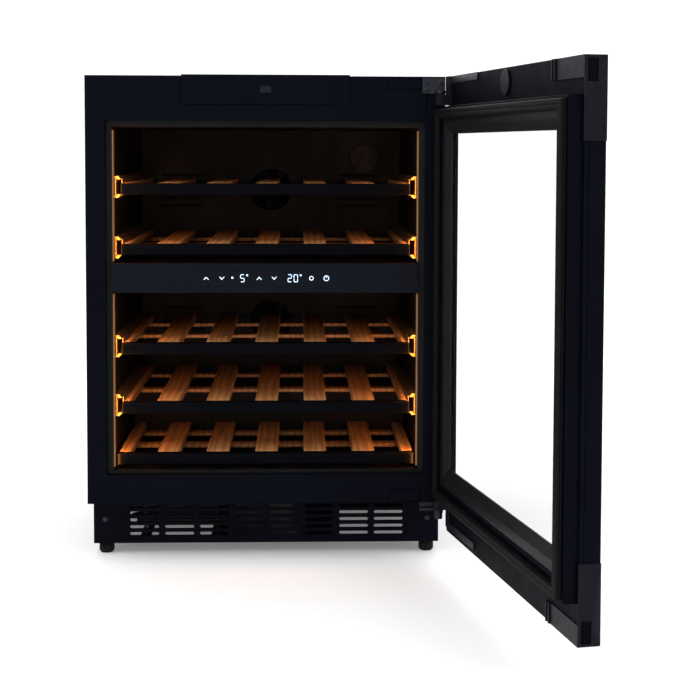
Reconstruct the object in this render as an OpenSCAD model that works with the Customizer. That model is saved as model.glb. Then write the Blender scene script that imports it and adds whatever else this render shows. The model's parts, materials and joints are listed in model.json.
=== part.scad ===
// Under-counter dual-zone wine cooler, glass door standing open.
// +Z is up, -Y is the front. The origin is the middle of the four feet, on the floor.

/* [Cabinet] */
// Width of the cabinet and of the door
cabinet_width = 595; // [500:1:700]
// Floor to the top panel
cabinet_height = 820; // [760:1:1000]
// Front frame face to back panel
cabinet_depth = 570; // [500:1:680]
// Outer face to liner inner face at the sides
wall_thickness = 42.5; // [35:0.5:55]
// Cavity roof to the top panel
ceiling_thickness = 84; // [75:1:110]
// Body underside to cavity floor
floor_thickness = 54; // [45:1:75]
// Outer steel sheet thickness
sheet = 1; // [0.8:0.1:1.5]
// Plastic liner thickness
liner_thickness = 1.5; // [1:0.1:2.5]
// Front frame thickness, front to back
frame_thickness = 12; // [10:0.5:16]
// Step from the cavity edge out to the front frame edge
frame_reveal = 10; // [6:0.5:14]
// Foam thickness behind and over the cavity
foam_thickness = 42; // [35:1:55]

/* [Base] */
// Floor to the underside of the body
base_height = 106; // [90:1:130]
// Floor to the base tray
tray_height = 20; // [16:1:30]
// Front frame face to plinth face
plinth_setback = 72; // [40:1:90]
// Base tray and skirt thickness
tray_sheet = 2; // [1.5:0.1:3]
// Distance from the plinth face to the air windows in the base tray
tray_window_setback = 25; // [20:1:60]
// Length of those windows from front to back
tray_window_depth = 225; // [100:5:235]
// Grille slot columns
grille_columns = 8; // [4:1:12]
// Grille slot rows
grille_rows = 5; // [3:1:6]
// Foot centre in from the cabinet side
foot_inset_x = 19.5; // [18:0.5:40]
// Foot centre in from the cabinet front and back
foot_inset_y = 95; // [92:1:130]
// Foot glide radius
foot_radius = 13; // [10:0.5:16]
// Foot stud radius
foot_stud_radius = 5; // [3:0.5:6]

/* [Door] */
// Angle the door stands open
door_angle = 100.8; // [60:0.1:104]
// Door skin thickness
skin_thickness = 6; // [4:0.5:10]
// Thickness of the hinge plate's end, which closes the slit beside the open door
hinge_end = 6.8; // [2:0.1:7]
// Floor to the lower edge of the door
door_bottom = 58; // [40:1:90]
// Depth of the handle rail, skin included
rail_depth = 30; // [20:1:40]
// Width of the handle rail
rail_width = 18.5; // [14:0.5:30]
// Inner frame thickness
inner_frame_thickness = 20; // [16:0.5:30]
// Inner frame edge in from the door edge
inner_frame_inset = 5; // [3:0.5:12]
// Inner frame bar width at the sides
inner_frame_bar = 25; // [20:1:36]
// Glass opening edge in from the door edge
glass_inset = 60; // [50:1:80]
// Gasket height, free
gasket_height = 9; // [6:0.5:14]
// Gasket strip width
gasket_width = 16; // [10:0.5:20]
// Glass pane thickness
pane_thickness = 3.5; // [3:0.5:5]
// Space between the two panes
pane_gap = 4; // [3:0.5:8]
// Hinge pin radius
pin_radius = 4; // [3:0.5:6]
// Hinge axis in from the cabinet side
pin_inset_x = 8.5; // [7:0.5:12]
// Hinge axis forward of the front frame face
pin_forward = 12.4; // [11:0.1:16]

/* [Shelves] */
// Cavity roof to the tops of the two upper shelves
upper_shelf_drops = [94, 195.5]; // [60:0.5:300]
// Top of the third shelf above the top of the fourth
middle_shelf_spacing = 100; // [90:0.5:160]
// Rear step to the underside of the fourth shelf's slides
slide_floor_gap = 3.5; // [2:0.5:20]
// Cavity floor to the top of the bottom shelf
low_shelf_rise = 27; // [24:0.5:60]
// Shelf front bar height
bar_height = 19; // [15:1:30]
// Shelf front bar depth
bar_depth = 20; // [14:1:30]
// Front frame face to the shelf bar
bar_setback = 18; // [16:1:40]
// Space between a pull-out shelf and the air covers
shelf_back_gap = 27.5; // [20:0.5:60]
// Rear end of the slides short of the shelf's rear edge
slide_rear_short = 28; // [10:1:60]
// Shelf top to the middle line of its slides
slide_drop = 6.5; // [4:0.5:10]
// Wooden slats in one shelf
slat_count = 7; // [5:1:9]
// Slat width
slat_width = 38; // [20:1:45]
// Slat thickness
slat_thickness = 13; // [10:1:16]
// Slide thickness between cavity wall and shelf
slide_thickness = 13.5; // [13:0.1:16]
// Slide height
slide_height = 36; // [30:1:45]

/* [Controls] */
// Control panel height
panel_height = 49; // [40:1:60]
// Cavity roof to control panel middle
panel_drop = 251.5; // [225:0.5:300]
// Front frame face to control panel face
panel_setback = 5; // [3:0.5:12]
// Width of the door opener housing
opener_width = 279; // [220:1:320]
// Height of the door opener face
opener_height = 49; // [40:1:60]

/* [Machinery] */
// Machine bay depth, front to back
bay_depth = 211.5; // [190:0.5:260]
// Body underside to the roof of the machine bay
bay_rise = 96.5; // [85:0.5:150]
// Compressor radius
compressor_radius = 72; // [60:1:85]
// Circulation fan radius
fan_radius = 38; // [30:1:45]
// Condenser fan radius
condenser_fan_radius = 58; // [45:1:70]
// Condenser tube radius
tube_radius = 3; // [2.5:0.25:4]

/* [Fits] */
// Gap round pieces that sit in an opening
fit_gap = 0.5; // [0.3:0.1:1]
// Radial gap round the hinge pins
pin_clearance = 0.08; // [0.05:0.01:0.1]
// Gap between the closed gasket and the front frame
seal_gap = 0.3; // [0.2:0.05:0.5]
// Gap between nested slide members
slide_gap = 0.5; // [0.3:0.05:0.8]
// Radial gap round the foot studs
stud_clearance = 0.1; // [0.05:0.01:0.1]
// Radial gap round the fan shafts
shaft_clearance = 0.08; // [0.05:0.01:0.1]
// Gap round the opener pusher
pusher_gap = 0.3; // [0.2:0.05:0.5]

/* [Hidden] */
$fn = 48;
cut = 0.5;
half_w = cabinet_width / 2;
y_front = -cabinet_depth / 2;
y_back = cabinet_depth / 2;
cav_half = half_w - wall_thickness;
cav_bottom = base_height + floor_thickness;
cav_top = cabinet_height - ceiling_thickness;
y_liner = y_front + frame_thickness;
cav_back = y_back - foam_thickness - liner_thickness - sheet;
foam_top = cav_top + liner_thickness + foam_thickness;
// Machine compartment under the rear step of the cavity
bay_y = y_back - bay_depth;
bay_z = base_height + bay_rise;
step_y = bay_y - liner_thickness - foam_thickness;
step_z = bay_z + liner_thickness + foam_thickness;
y_plinth = y_front + plinth_setback;
foot_x = half_w - foot_inset_x;
foot_y = y_back - foot_inset_y;
foot_spots = [[-foot_x, -foot_y], [foot_x, -foot_y], [-foot_x, foot_y], [foot_x, foot_y]];
foot_stud_top = tray_height + 50;
// Door
door_gap = inner_frame_thickness + gasket_height + seal_gap;
y_skin = y_front - door_gap;
pin_x = half_w - pin_inset_x;
pin_y = y_front - pin_forward;
glass_bottom = cav_bottom + 16;
glass_top = cav_top - 11;
inner_bottom = base_height + 8;
inner_top = cav_top + 34;
skin_open_inset = 34;
skin_open_z = 14;
bead_bottom = glass_bottom - 32;
bead_top = glass_top + 27;
pane_half = half_w - inner_frame_inset - inner_frame_bar - fit_gap;
glass_half = half_w - glass_inset;
// Shelves
bar_half = cav_half - slide_thickness - 1;
y_bar = y_front + bar_setback;
cover_y = cav_back - 40;
shelf_depth = cover_y - shelf_back_gap - y_bar;
panel_middle = cav_top - panel_drop;
fourth_shelf = step_z + slide_floor_gap + slide_height / 2 + slide_drop;
shelf_tops = [cav_top - upper_shelf_drops[0], cav_top - upper_shelf_drops[1],
    fourth_shelf + middle_shelf_spacing, fourth_shelf, cav_bottom + low_shelf_rise];
slat_pitch = (2 * bar_half + slat_width / 2 - 3) / (slat_count - 1);
low_shelf_depth = step_y - y_bar - 6;
y_slide = y_bar + 12;
slide_length = y_bar + shelf_depth - slide_rear_short - y_slide;
opener_bottom = cabinet_height - opener_height + 2;
opener_top = cabinet_height + 2;
opener_depth = 120;
pusher_z = cabinet_height - 22;
pusher_w = 20;
pusher_h = 12;
screw_r = 2.5;
shaft_r = 2.5;
// Top hinge bracket: its underside, and its screws from the pin line and that underside
bracket_z = cabinet_height - 28;
bracket_screws = [[-22, 18], [0, 18], [-22, 6]];
// Divider between the zones, half its height
divider_half = 17;
// Display lens, half its width and half its height
lens_half_w = 124;
lens_half_h = 13;
// How far the marks on the lens stand proud
mark = 0.2;
upper_fan_z = (panel_middle + divider_half + cav_top) / 2;
lower_fan_z = (step_z + panel_middle - divider_half) / 2;
// Compressor, condenser fan and condenser places
tray_top = tray_height + tray_sheet;
comp_x = 0.4 * half_w;
comp_y = (bay_y + y_back) / 2 - 2;
comp_z = tray_top + 18;
fan_x = -0.25 * half_w;
fan_y = comp_y - 20;
fan_z = tray_top + condenser_fan_radius + 14;
condenser_passes = 10;
condenser_pitch = 24;
condenser_x0 = -half_w + 70;
condenser_x1 = -half_w + 225;
condenser_y0 = y_plinth + 40;
// Inlet windows in the base tray, left and right ends, clear of the condenser supports
tray_windows = [[-half_w + 35, condenser_x0 + 5], [condenser_x0 + 24, condenser_x1 - 26],
    [half_w - 175, half_w - 35]];

// Helpers

module box(x0, x1, y0, y1, z0, z1) {
    translate([x0, y0, z0])
        cube([x1 - x0, y1 - y0, z1 - z0]);
}

module ring(hx, z0, z1, ix, iz0, iz1, y0, y1) {
    difference() {
        box(-hx, hx, y0, y1, z0, z1);
        box(-ix, ix, y0 - cut, y1 + cut, iz0, iz1);
    }
}

module drill_y(x, y0, y1, z, r) {
    translate([x, y0, z])
        rotate([-90, 0, 0])
            cylinder(h = y1 - y0, r = r);
}

module drill_z(x, y, z0, z1, r) {
    translate([x, y, z0])
        cylinder(h = z1 - z0, r = r);
}

module drill_x(x0, x1, y, z, r) {
    translate([x0, y, z])
        rotate([0, 90, 0])
            cylinder(h = x1 - x0, r = r);
}

// Cavity outline seen from the side, grown outward by g
module cavity_side(g) {
    polygon([[y_liner, cav_bottom - g], [step_y + g, cav_bottom - g], [step_y + g, step_z - g],
        [cav_back + g, step_z - g], [cav_back + g, cav_top + g], [y_liner, cav_top + g]]);
}

module along_x(half) {
    rotate([90, 0, 90])
        translate([0, 0, -half])
            linear_extrude(height = 2 * half)
                children();
}

// Turns pieces drawn on the closed door to the angle the door stands at
module door_place() {
    translate([pin_x, pin_y, 0])
        rotate([0, 0, door_angle])
            translate([-pin_x, -pin_y, 0])
                children();
}

// Cabinet shell

module front_frame() {
    color("#101318")
        difference() {
            ring(half_w, base_height, cabinet_height, cav_half + frame_reveal,
                cav_bottom - 5, cav_top + frame_reveal, y_front, y_liner);
            box(-opener_width / 2 - fit_gap, opener_width / 2 + fit_gap, y_front - cut, y_liner + cut,
                opener_bottom - fit_gap, cabinet_height + cut);
            hinge_cover_pocket(fit_gap);
            for (p = bracket_screws)
                drill_y(pin_x + p[0], y_front - cut, y_liner + cut, bracket_z + p[1], screw_r);
        }
}

module hinge_cover_pocket(g) {
    box(half_w - 91 - g, half_w - 38 + g, y_front - cut, y_front + 5, base_height + 2 - g,
        base_height + 22 + g);
    box(half_w - 94 - g, half_w - 40 + g, y_front - cut, y_front + 5, cabinet_height - 21 - g,
        cabinet_height - 3 + g);
}

module outer_wrap() {
    color("#15181d")
        difference() {
            box(-half_w, half_w, y_liner, y_back, base_height, cabinet_height);
            box(-half_w + sheet, half_w - sheet, y_liner - cut, y_back + cut, base_height - cut,
                cabinet_height - sheet);
            box(-opener_width / 2 - fit_gap, opener_width / 2 + fit_gap, y_liner - cut,
                y_front + 30 + fit_gap, cabinet_height - sheet - cut, cabinet_height + cut);
            for (x = [-half_w + 40, half_w - 40], y = [y_back - 40, y_liner + 40])
                drill_z(x, y, cabinet_height - sheet - cut, cabinet_height + cut, screw_r);
        }
}

module back_panel() {
    color("#2a2d31")
        box(-half_w + sheet, half_w - sheet, y_back - sheet, y_back, bay_z, cabinet_height - sheet);
}

module body_floor() {
    color("#2a2d31")
        along_x(half_w - sheet)
            polygon([[y_liner, base_height], [bay_y, base_height], [bay_y, bay_z],
                [y_back - sheet, bay_z], [y_back - sheet, bay_z + sheet], [bay_y - sheet, bay_z + sheet],
                [bay_y - sheet, base_height + sheet], [y_liner, base_height + sheet]]);
}

module inner_liner() {
    color("#1a1c20")
        difference() {
            union() {
                along_x(cav_half + liner_thickness)
                    cavity_side(liner_thickness);
                box(-cav_half - 30, cav_half + 30, y_liner, y_liner + liner_thickness, cav_bottom - 30,
                    cav_top + 24);
            }
            along_x(cav_half)
                cavity_side(0);
            box(-cav_half, cav_half, y_liner - cut, y_liner + cut, cav_bottom, cav_top);
        }
}

module foam_insulation() {
    color("#e8dcae")
        difference() {
            along_x(half_w - sheet)
                polygon([[y_liner + liner_thickness, base_height + sheet], [bay_y - sheet, base_height + sheet],
                    [bay_y - sheet, bay_z + sheet], [y_back - sheet, bay_z + sheet],
                    [y_back - sheet, foam_top], [y_liner + liner_thickness, foam_top]]);
            along_x(cav_half + liner_thickness)
                cavity_side(liner_thickness);
            box(-opener_width / 2 - fit_gap, opener_width / 2 + fit_gap, y_liner, y_front + 30 + fit_gap,
                opener_bottom - fit_gap, foam_top + cut);
        }
}

// Base

module base_tray() {
    color("#1c1f24")
        difference() {
            union() {
                box(-half_w, half_w, y_plinth + 6, y_back, tray_height, tray_height + tray_sheet);
                for (x = [-half_w, half_w - tray_sheet])
                    box(x, x + tray_sheet, y_plinth + 6, y_back, tray_height, base_height);
            }
            for (p = foot_spots)
                drill_z(p[0], p[1], tray_height - cut, tray_height + tray_sheet + cut, foot_stud_radius + 0.5);
            for (w = tray_windows)
                box(w[0], w[1], y_plinth + tray_window_setback, y_plinth + tray_window_setback + tray_window_depth,
                    tray_height - cut, tray_height + tray_sheet + cut);
        }
}

module grille_slots(y0, y1) {
    slot_w = (cabinet_width - 123) / grille_columns - 9;
    pitch_x = (cabinet_width - 114) / grille_columns;
    pitch_z = 60 / grille_rows;
    for (i = [0:grille_columns - 1], j = [0:grille_rows - 1]) {
        x = (i - (grille_columns - 1) / 2) * pitch_x;
        z = tray_height + 40 + (j - (grille_rows - 1) / 2) * pitch_z;
        box(x - slot_w / 2 + 3, x + slot_w / 2 - 3, y0, y1, z - 3, z + 3);
        for (s = [-1, 1])
            drill_y(x + s * (slot_w / 2 - 3), y0, y1, z, 3);
    }
}

module plinth_grille() {
    color("#14171b")
        difference() {
            box(-half_w, half_w, y_plinth, y_plinth + 6, tray_height, base_height);
            grille_slots(y_plinth - cut, y_plinth + 6 + cut);
            for (x = [-half_w + 20, half_w - 20])
                drill_y(x, y_plinth - cut, y_plinth + 6 + cut, tray_height + 42, screw_r);
        }
}

module foot(i) {
    p = foot_spots[i];
    drill_z(p[0], p[1], 0, tray_height - 4, foot_radius);
    drill_z(p[0], p[1], tray_height - 4, tray_height, foot_radius - 1);
    drill_z(p[0], p[1], tray_height, foot_stud_top, foot_stud_radius);
}

module foot_front_left() {
    color("#0c0d0f")
        foot(0);
}

module foot_front_right() {
    color("#0c0d0f")
        foot(1);
}

module foot_rear_left() {
    color("#0c0d0f")
        foot(2);
}

module foot_rear_right() {
    color("#0c0d0f")
        foot(3);
}

module foot_nuts() {
    color("#9a9da1")
        for (p = foot_spots)
            difference() {
                translate([p[0], p[1], tray_height + tray_sheet])
                    cylinder(h = 14, r = 2 * foot_stud_radius, $fn = 6);
                drill_z(p[0], p[1], tray_height, tray_height + 20, foot_stud_radius + stud_clearance);
            }
}

// Door opener

module opener_housing() {
    w = opener_width / 2;
    color("#0f1216")
        difference() {
            union() {
                box(-w, w, y_front, y_front + 30, opener_bottom, opener_top);
                box(-w + 20, w - 20, y_front + 30, y_front + opener_depth, opener_bottom + 12,
                    cabinet_height - sheet - 1);
            }
            box(-pusher_w / 2 - pusher_gap, pusher_w / 2 + pusher_gap, y_front - cut, y_front + opener_depth - 10,
                pusher_z - pusher_h / 2 - pusher_gap, pusher_z + pusher_h / 2 + pusher_gap);
        }
}

module opener_pusher() {
    color("#22262b")
        box(-pusher_w / 2, pusher_w / 2, y_front, y_front + opener_depth - 12, pusher_z - pusher_h / 2,
            pusher_z + pusher_h / 2);
}

// Hinges

module hinge_arm(z0, z1) {
    box(pin_x - 8, half_w - 1, pin_y, y_front, z0, z1);
    drill_z(pin_x, pin_y, z0, z1, 8);
}

module hinge_bracket_top() {
    z = bracket_z;
    color("#8d9196")
        difference() {
            union() {
                box(pin_x - 30, half_w - 1, y_front - 3, y_front, z, cabinet_height - 2);
                hinge_arm(z, z + 4);
                drill_z(pin_x, pin_y, inner_top + 3, z, pin_radius);
            }
            for (p = bracket_screws)
                drill_y(pin_x + p[0], y_front - 3 - cut, y_front + cut, z + p[1], screw_r);
        }
}

module hinge_bracket_bottom() {
    z = base_height - 14;
    color("#8d9196")
        difference() {
            union() {
                hinge_arm(z, z + 4);
                box(pin_x - 30, half_w - 1, y_front, y_front + 40, z, z + 4);
                box(pin_x - 30, half_w - 1, y_front + 8, y_front + 12, z, base_height);
                box(pin_x - 30, half_w - 1, y_front + 8, y_front + 40, base_height - 3, base_height);
                drill_z(pin_x, pin_y, z - 10, inner_bottom - 4, pin_radius);
                drill_z(pin_x, pin_y, z - 10, z, 7);
            }
            for (x = [pin_x - 22, pin_x - 4])
                drill_z(x, y_front + 28, z - cut, base_height + cut, screw_r);
        }
}

module hinge_washer() {
    z = base_height - 10;
    color("#d8d4c6")
        difference() {
            drill_z(pin_x, pin_y, z, z + 1, 7.5);
            drill_z(pin_x, pin_y, z - cut, z + 1 + cut, pin_radius + pin_clearance);
        }
}

module hinge_covers() {
    color("#1e2227") {
        box(half_w - 94, half_w - 40, y_front, y_front + 5, cabinet_height - 21, cabinet_height - 3);
        box(half_w - 91, half_w - 38, y_front, y_front + 5, base_height + 2, base_height + 22);
    }
}

module screw_y(x, y, z) {
    drill_y(x, y - 1.6, y, z, 4.4);
    drill_y(x, y, y + 10, z, screw_r);
}

module cabinet_screws() {
    color("#b5b8bc") {
        for (p = bracket_screws)
            screw_y(pin_x + p[0], y_front - 3, bracket_z + p[1]);
        for (x = [-half_w + 20, half_w - 20])
            screw_y(x, y_plinth, tray_height + 42);
    }
}

// Cavity fittings

module zone_divider() {
    z = panel_middle;
    color("#191b1f")
        difference() {
            box(-cav_half, cav_half, y_front + panel_setback + 22, cover_y, z - divider_half, z + divider_half);
            box(-cav_half + 2, cav_half - 2, y_front + panel_setback + 24, cover_y - 2, z - divider_half + 2,
                z + divider_half - 2);
        }
}

module control_bezel() {
    z = panel_middle;
    h = panel_height / 2;
    color("#20242b")
        difference() {
            box(-cav_half, cav_half, y_front + panel_setback, y_front + panel_setback + 22, z - h, z + h);
            box(-cav_half + 3, cav_half - 3, y_front + panel_setback + 3, y_front + panel_setback + 22 + cut,
                z - h + 3, z + h - 3);
            box(-lens_half_w, lens_half_w, y_front + panel_setback - cut, y_front + panel_setback + 3 + cut,
                z - lens_half_h, z + lens_half_h);
        }
}

module display_lens() {
    z = panel_middle;
    color("#0a0c12")
        box(-lens_half_w, lens_half_w, y_front + panel_setback, y_front + panel_setback + 3,
            z - lens_half_h, z + lens_half_h);
}

module digit_bars(x, z, bars) {
    // Bars: top, middle, bottom, upper left, upper right, lower left, lower right
    y = y_front + panel_setback - mark;
    for (k = [0:2])
        if (bars[k] > 0)
            box(x - 2.5, x + 2.5, y, y + mark, z + 5.5 - 6 * k, z + 6.5 - 6 * k);
    for (k = [0:3])
        if (bars[3 + k] > 0) {
            bx = x + (k % 2 == 0 ? -3.5 : 2.5);
            bz = k < 2 ? z + 0.5 : z - 5.5;
            box(bx, bx + 1, y, y + mark, bz, bz + 5);
        }
}

module touch_icons() {
    z = panel_middle;
    y = y_front + panel_setback - mark;
    color("#dfe9ff") {
        for (x = [-99, -11])
            arrow_key(x, z, 1);
        for (x = [-73, 14])
            arrow_key(x, z, -1);
        drill_y(-55.5, y, y + mark, z + 1, 1.6);
        digit_bars(-39, z, [1, 1, 1, 1, 0, 0, 1]);
        digit_bars(40, z, [1, 1, 1, 0, 1, 1, 0]);
        digit_bars(50, z, [1, 0, 1, 1, 1, 1, 1]);
        for (x = [-31, 58])
            ring_mark(x, z + 5, 1.6, 0.8);
        ring_mark(76, z, 3.6, 2.6);
        ring_mark(101, z, 4.6, 3.6);
        box(100.5, 101.5, y, y + mark, z + 0.5, z + 3.5);
    }
}

module arrow_key(x, z, s) {
    y = y_front + panel_setback - mark;
    translate([x, y + mark, z])
        rotate([90, 0, 0])
            linear_extrude(height = mark)
                polygon([[-4.5, -2.5 * s], [0, 2.5 * s], [4.5, -2.5 * s], [3.3, -2.5 * s], [0, 0.9 * s],
                    [-3.3, -2.5 * s]]);
}

module ring_mark(x, z, r_out, r_in) {
    y = y_front + panel_setback - mark;
    difference() {
        drill_y(x, y, y + mark, z, r_out);
        drill_y(x, y - cut, y + mark + cut, z, r_in);
    }
}

module light_strips() {
    color("#f4c98a")
        for (s = [-1, 1]) {
            x0 = s < 0 ? -cav_half : cav_half - 2.5;
            box(x0, x0 + 2.5, y_liner + 2, y_liner + 12, cav_bottom + 6, panel_middle - panel_height / 2 - 3);
            box(x0, x0 + 2.5, y_liner + 2, y_liner + 12, panel_middle + panel_height / 2 + 3, cav_top - 6);
        }
}

// Slides and shelves

module slide_outer(z) {
    h = slide_height / 2;
    for (s = [-1, 1])
        scale([s, 1, 1])
            translate([0, y_slide, z - slide_drop]) {
                box(cav_half - 1.5, cav_half, 0, slide_length, -h, h);
                for (e = [-h, h - 1.5])
                    box(cav_half - 8.5, cav_half - 1.5, 0, slide_length, e, e + 1.5);
            }
}

module slide_outers() {
    color("#a87a3c")
        for (i = [0:3])
            slide_outer(shelf_tops[i]);
}

module slide_middle(i) {
    h = slide_height / 2 - 1.5 - slide_gap;
    color("#b88744")
        for (s = [-1, 1])
            scale([s, 1, 1])
                translate([0, y_slide, shelf_tops[i] - slide_drop]) {
                    box(cav_half - 4.5, cav_half - 3, 0, slide_length, -h, h);
                    for (e = [-h, h - 1.5])
                        box(cav_half - 11, cav_half - 4.5, 0, slide_length, e, e + 1.5);
                }
}

module slide_middle_1() {
    slide_middle(0);
}

module slide_middle_2() {
    slide_middle(1);
}

module slide_middle_3() {
    slide_middle(2);
}

module slide_middle_4() {
    slide_middle(3);
}

// Front bar with the two inner slide members welded to it
module shelf_frame(i) {
    top = shelf_tops[i];
    h = slide_height / 2 - 3 - 2 * slide_gap;
    x0 = cav_half - slide_thickness;
    color("#0d0f12") {
        box(-bar_half - 1, bar_half + 1, y_bar, y_bar + bar_depth, top - bar_height, top);
        for (s = [-1, 1])
            scale([s, 1, 1])
                translate([0, 0, top - slide_drop]) {
                    box(x0 - 1, x0 + 1, y_bar + bar_depth, y_slide + slide_length, -h, h);
                    for (e = [-h, h - 1.5])
                        box(x0 + 1, cav_half - 5.5, y_slide, y_slide + slide_length, e, e + 1.5);
                }
    }
}

module shelf_frame_1() {
    shelf_frame(0);
}

module shelf_frame_2() {
    shelf_frame(1);
}

module shelf_frame_3() {
    shelf_frame(2);
}

module shelf_frame_4() {
    shelf_frame(3);
}

module shelf_frame_5() {
    top = shelf_tops[4];
    hx = cav_half - 3.5;
    color("#0d0f12") {
        box(-hx, hx, y_bar, y_bar + bar_depth, top - bar_height, top);
        for (s = [-1, 1])
            scale([s, 1, 1])
                box(hx - 2, hx, y_bar + bar_depth, y_bar + low_shelf_depth, cav_bottom, top);
    }
}

module shelf_slats(i, hx, depth) {
    top = shelf_tops[i];
    k = (slat_count - 1) / 2;
    y0 = y_bar + bar_depth;
    color("#c79a62") {
        for (j = [-k:k]) {
            x0 = max(-hx, j * slat_pitch - slat_width / 2);
            x1 = min(hx, j * slat_pitch + slat_width / 2);
            box(x0, x1, y0, y_bar + depth, top - slat_thickness, top);
        }
        for (f = [0.06, 0.5, 0.94])
            box(-hx, hx, y0 + f * (depth - bar_depth - 28), y0 + f * (depth - bar_depth - 28) + 28,
                top - slat_thickness - 6, top - slat_thickness);
    }
}

module shelf_slats_1() {
    shelf_slats(0, bar_half, shelf_depth);
}

module shelf_slats_2() {
    shelf_slats(1, bar_half, shelf_depth);
}

module shelf_slats_3() {
    shelf_slats(2, bar_half, shelf_depth);
}

module shelf_slats_4() {
    shelf_slats(3, bar_half, shelf_depth);
}

module shelf_slats_5() {
    shelf_slats(4, cav_half - 5.5, low_shelf_depth);
}

// Air circulation

module fan_seat(x, y, z, r_hole, reach) {
    for (a = [45:90:315])
        translate([x, y, z])
            rotate([0, a, 0])
                box(8, r_hole + 4, reach, reach + 2, -2, 2);
    drill_y(x, y + reach, y + reach + 12, z, 14);
    drill_y(x, y + 1, y + reach, z, shaft_r);
}

module fan_rotor(x, y, z, r, blades, depth) {
    difference() {
        union() {
            drill_y(x, y, y + depth, z, r * 0.3);
            for (k = [0:blades - 1])
                translate([x, y + depth / 2, z])
                    rotate([0, k * 360 / blades, 0])
                        rotate([32, 0, 0])
                            box(r * 0.2, r, -depth * 0.42, depth * 0.42, -0.8, 0.8);
        }
        drill_y(x, y - cut, y + depth + cut, z, shaft_r + shaft_clearance);
    }
}

module air_cover(z0, z1, fan_z) {
    difference() {
        box(-cav_half, cav_half, cover_y, cover_y + 2, z0, z1);
        drill_y(0, cover_y - cut, cover_y + 2 + cut, fan_z, fan_radius + 3);
        for (s = [-1, 1], k = [0:4])
            box(s * 175 - 40, s * 175 + 40, cover_y - cut, cover_y + 2 + cut, fan_z - 34 + 15 * k,
                fan_z - 29 + 15 * k);
    }
    fan_seat(0, cover_y + 2, fan_z, fan_radius + 3, 16);
    for (a = [45:90:315])
        translate([0, cover_y + 2, fan_z])
            rotate([0, a, 0])
                box(fan_radius + 4, fan_radius + 8, 0, 18, -2, 2);
}

module air_covers() {
    color("#1b1d21") {
        air_cover(panel_middle + divider_half, cav_top, upper_fan_z);
        air_cover(step_z, panel_middle - divider_half, lower_fan_z);
    }
}

module fan_upper() {
    color("#2b2f35")
        fan_rotor(0, cover_y + 4, upper_fan_z, fan_radius, 7, 11);
}

module fan_lower() {
    color("#2b2f35")
        fan_rotor(0, cover_y + 4, lower_fan_z, fan_radius, 7, 11);
}

module charcoal_filter() {
    color("#3a3d42")
        difference() {
            drill_y(0.72 * cav_half, cover_y - 14, cover_y, upper_fan_z + 62, 27);
            for (a = [0:45:315])
                drill_y(0.72 * cav_half + 16 * cos(a), cover_y - 14 - cut, cover_y - 11,
                    upper_fan_z + 62 + 16 * sin(a), 3);
        }
}

// Machinery

module compressor() {
    r = compressor_radius;
    color("#17191c") {
        box(comp_x - r - 12, comp_x + r + 12, comp_y - 62, comp_y + 62, comp_z, comp_z + 3);
        drill_z(comp_x, comp_y, comp_z + 3, comp_z + 88, r);
        translate([comp_x, comp_y, comp_z + 88])
            rotate_extrude()
                intersection() {
                    scale([1, 0.62])
                        circle(r = r);
                    square([r, r]);
                }
        box(comp_x + r - 4, comp_x + r + 22, comp_y - 26, comp_y + 26, comp_z + 26, comp_z + 76);
    }
}

module compressor_feet() {
    color("#222222")
        for (sx = [-1, 1], sy = [-1, 1])
            drill_z(comp_x + sx * compressor_radius, comp_y + sy * 50, tray_height + tray_sheet, comp_z, 9);
}

module condenser_layer(z) {
    x0 = condenser_x0;
    x1 = condenser_x1;
    y0 = condenser_y0;
    p = condenser_pitch;
    for (k = [0:condenser_passes - 1])
        drill_x(x0, x1, y0 + k * p, z, tube_radius);
    for (k = [0:condenser_passes - 2]) {
        right = k % 2 == 0;
        translate([right ? x1 : x0, y0 + (k + 0.5) * p, z])
            rotate([0, 0, right ? -90 : 90])
                rotate_extrude(angle = 180)
                    translate([p / 2, 0])
                        circle(r = tube_radius, $fn = 24);
    }
}

module condenser() {
    y0 = condenser_y0;
    y1 = y0 + (condenser_passes - 1) * condenser_pitch;
    color("#3c3f43") {
        for (z = [tray_top + 28, tray_top + 56])
            condenser_layer(z);
        for (x = [condenser_x0 + 14, condenser_x1 - 16])
            box(x, x + 2, y0 - 8, y1 + 8, tray_top, tray_top + 64);
    }
}

module condenser_fan() {
    color("#2b2f35")
        fan_rotor(fan_x, fan_y + 4, fan_z, condenser_fan_radius, 5, 20);
}

module fan_shroud() {
    r = condenser_fan_radius;
    color("#1d2024") {
        difference() {
            box(fan_x - r - 10, fan_x + r + 10, fan_y, fan_y + 3, tray_height + tray_sheet, fan_z + r + 8);
            drill_y(fan_x, fan_y - cut, fan_y + 3 + cut, fan_z, r + 3);
        }
        fan_seat(fan_x, fan_y + 3, fan_z, r + 3, 26);
        for (a = [45:90:315])
            translate([fan_x, fan_y + 3, fan_z])
                rotate([0, a, 0])
                    box(r + 4, r + 8, 0, 28, -2, 2);
    }
}

module rear_guard() {
    hx = half_w - tray_sheet;
    z0 = tray_height + tray_sheet;
    color("#1f2226")
        difference() {
            box(-hx, hx, y_back - 3, y_back - 1, z0, bay_z);
            for (i = [0:7], j = [0:9])
                box(-hx + 22 + i * 56, -hx + 62 + i * 56, y_back - 4, y_back, z0 + 18 + j * 14, z0 + 24 + j * 14);
            box(hx - 66, hx - 34, y_back - 4, y_back, z0 + 20, z0 + 44);
        }
}

module power_inlet() {
    hx = half_w - tray_sheet;
    z0 = tray_height + tray_sheet;
    color("#0b0b0c")
        difference() {
            union() {
                box(hx - 66, hx - 34, y_back - 24, y_back - 1, z0 + 20, z0 + 44);
                box(hx - 70, hx - 30, y_back - 1, y_back, z0 + 16, z0 + 48);
            }
            box(hx - 62, hx - 38, y_back - 18, y_back + cut, z0 + 24, z0 + 40);
        }
}

// Door, drawn closed and turned by door_place

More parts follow.
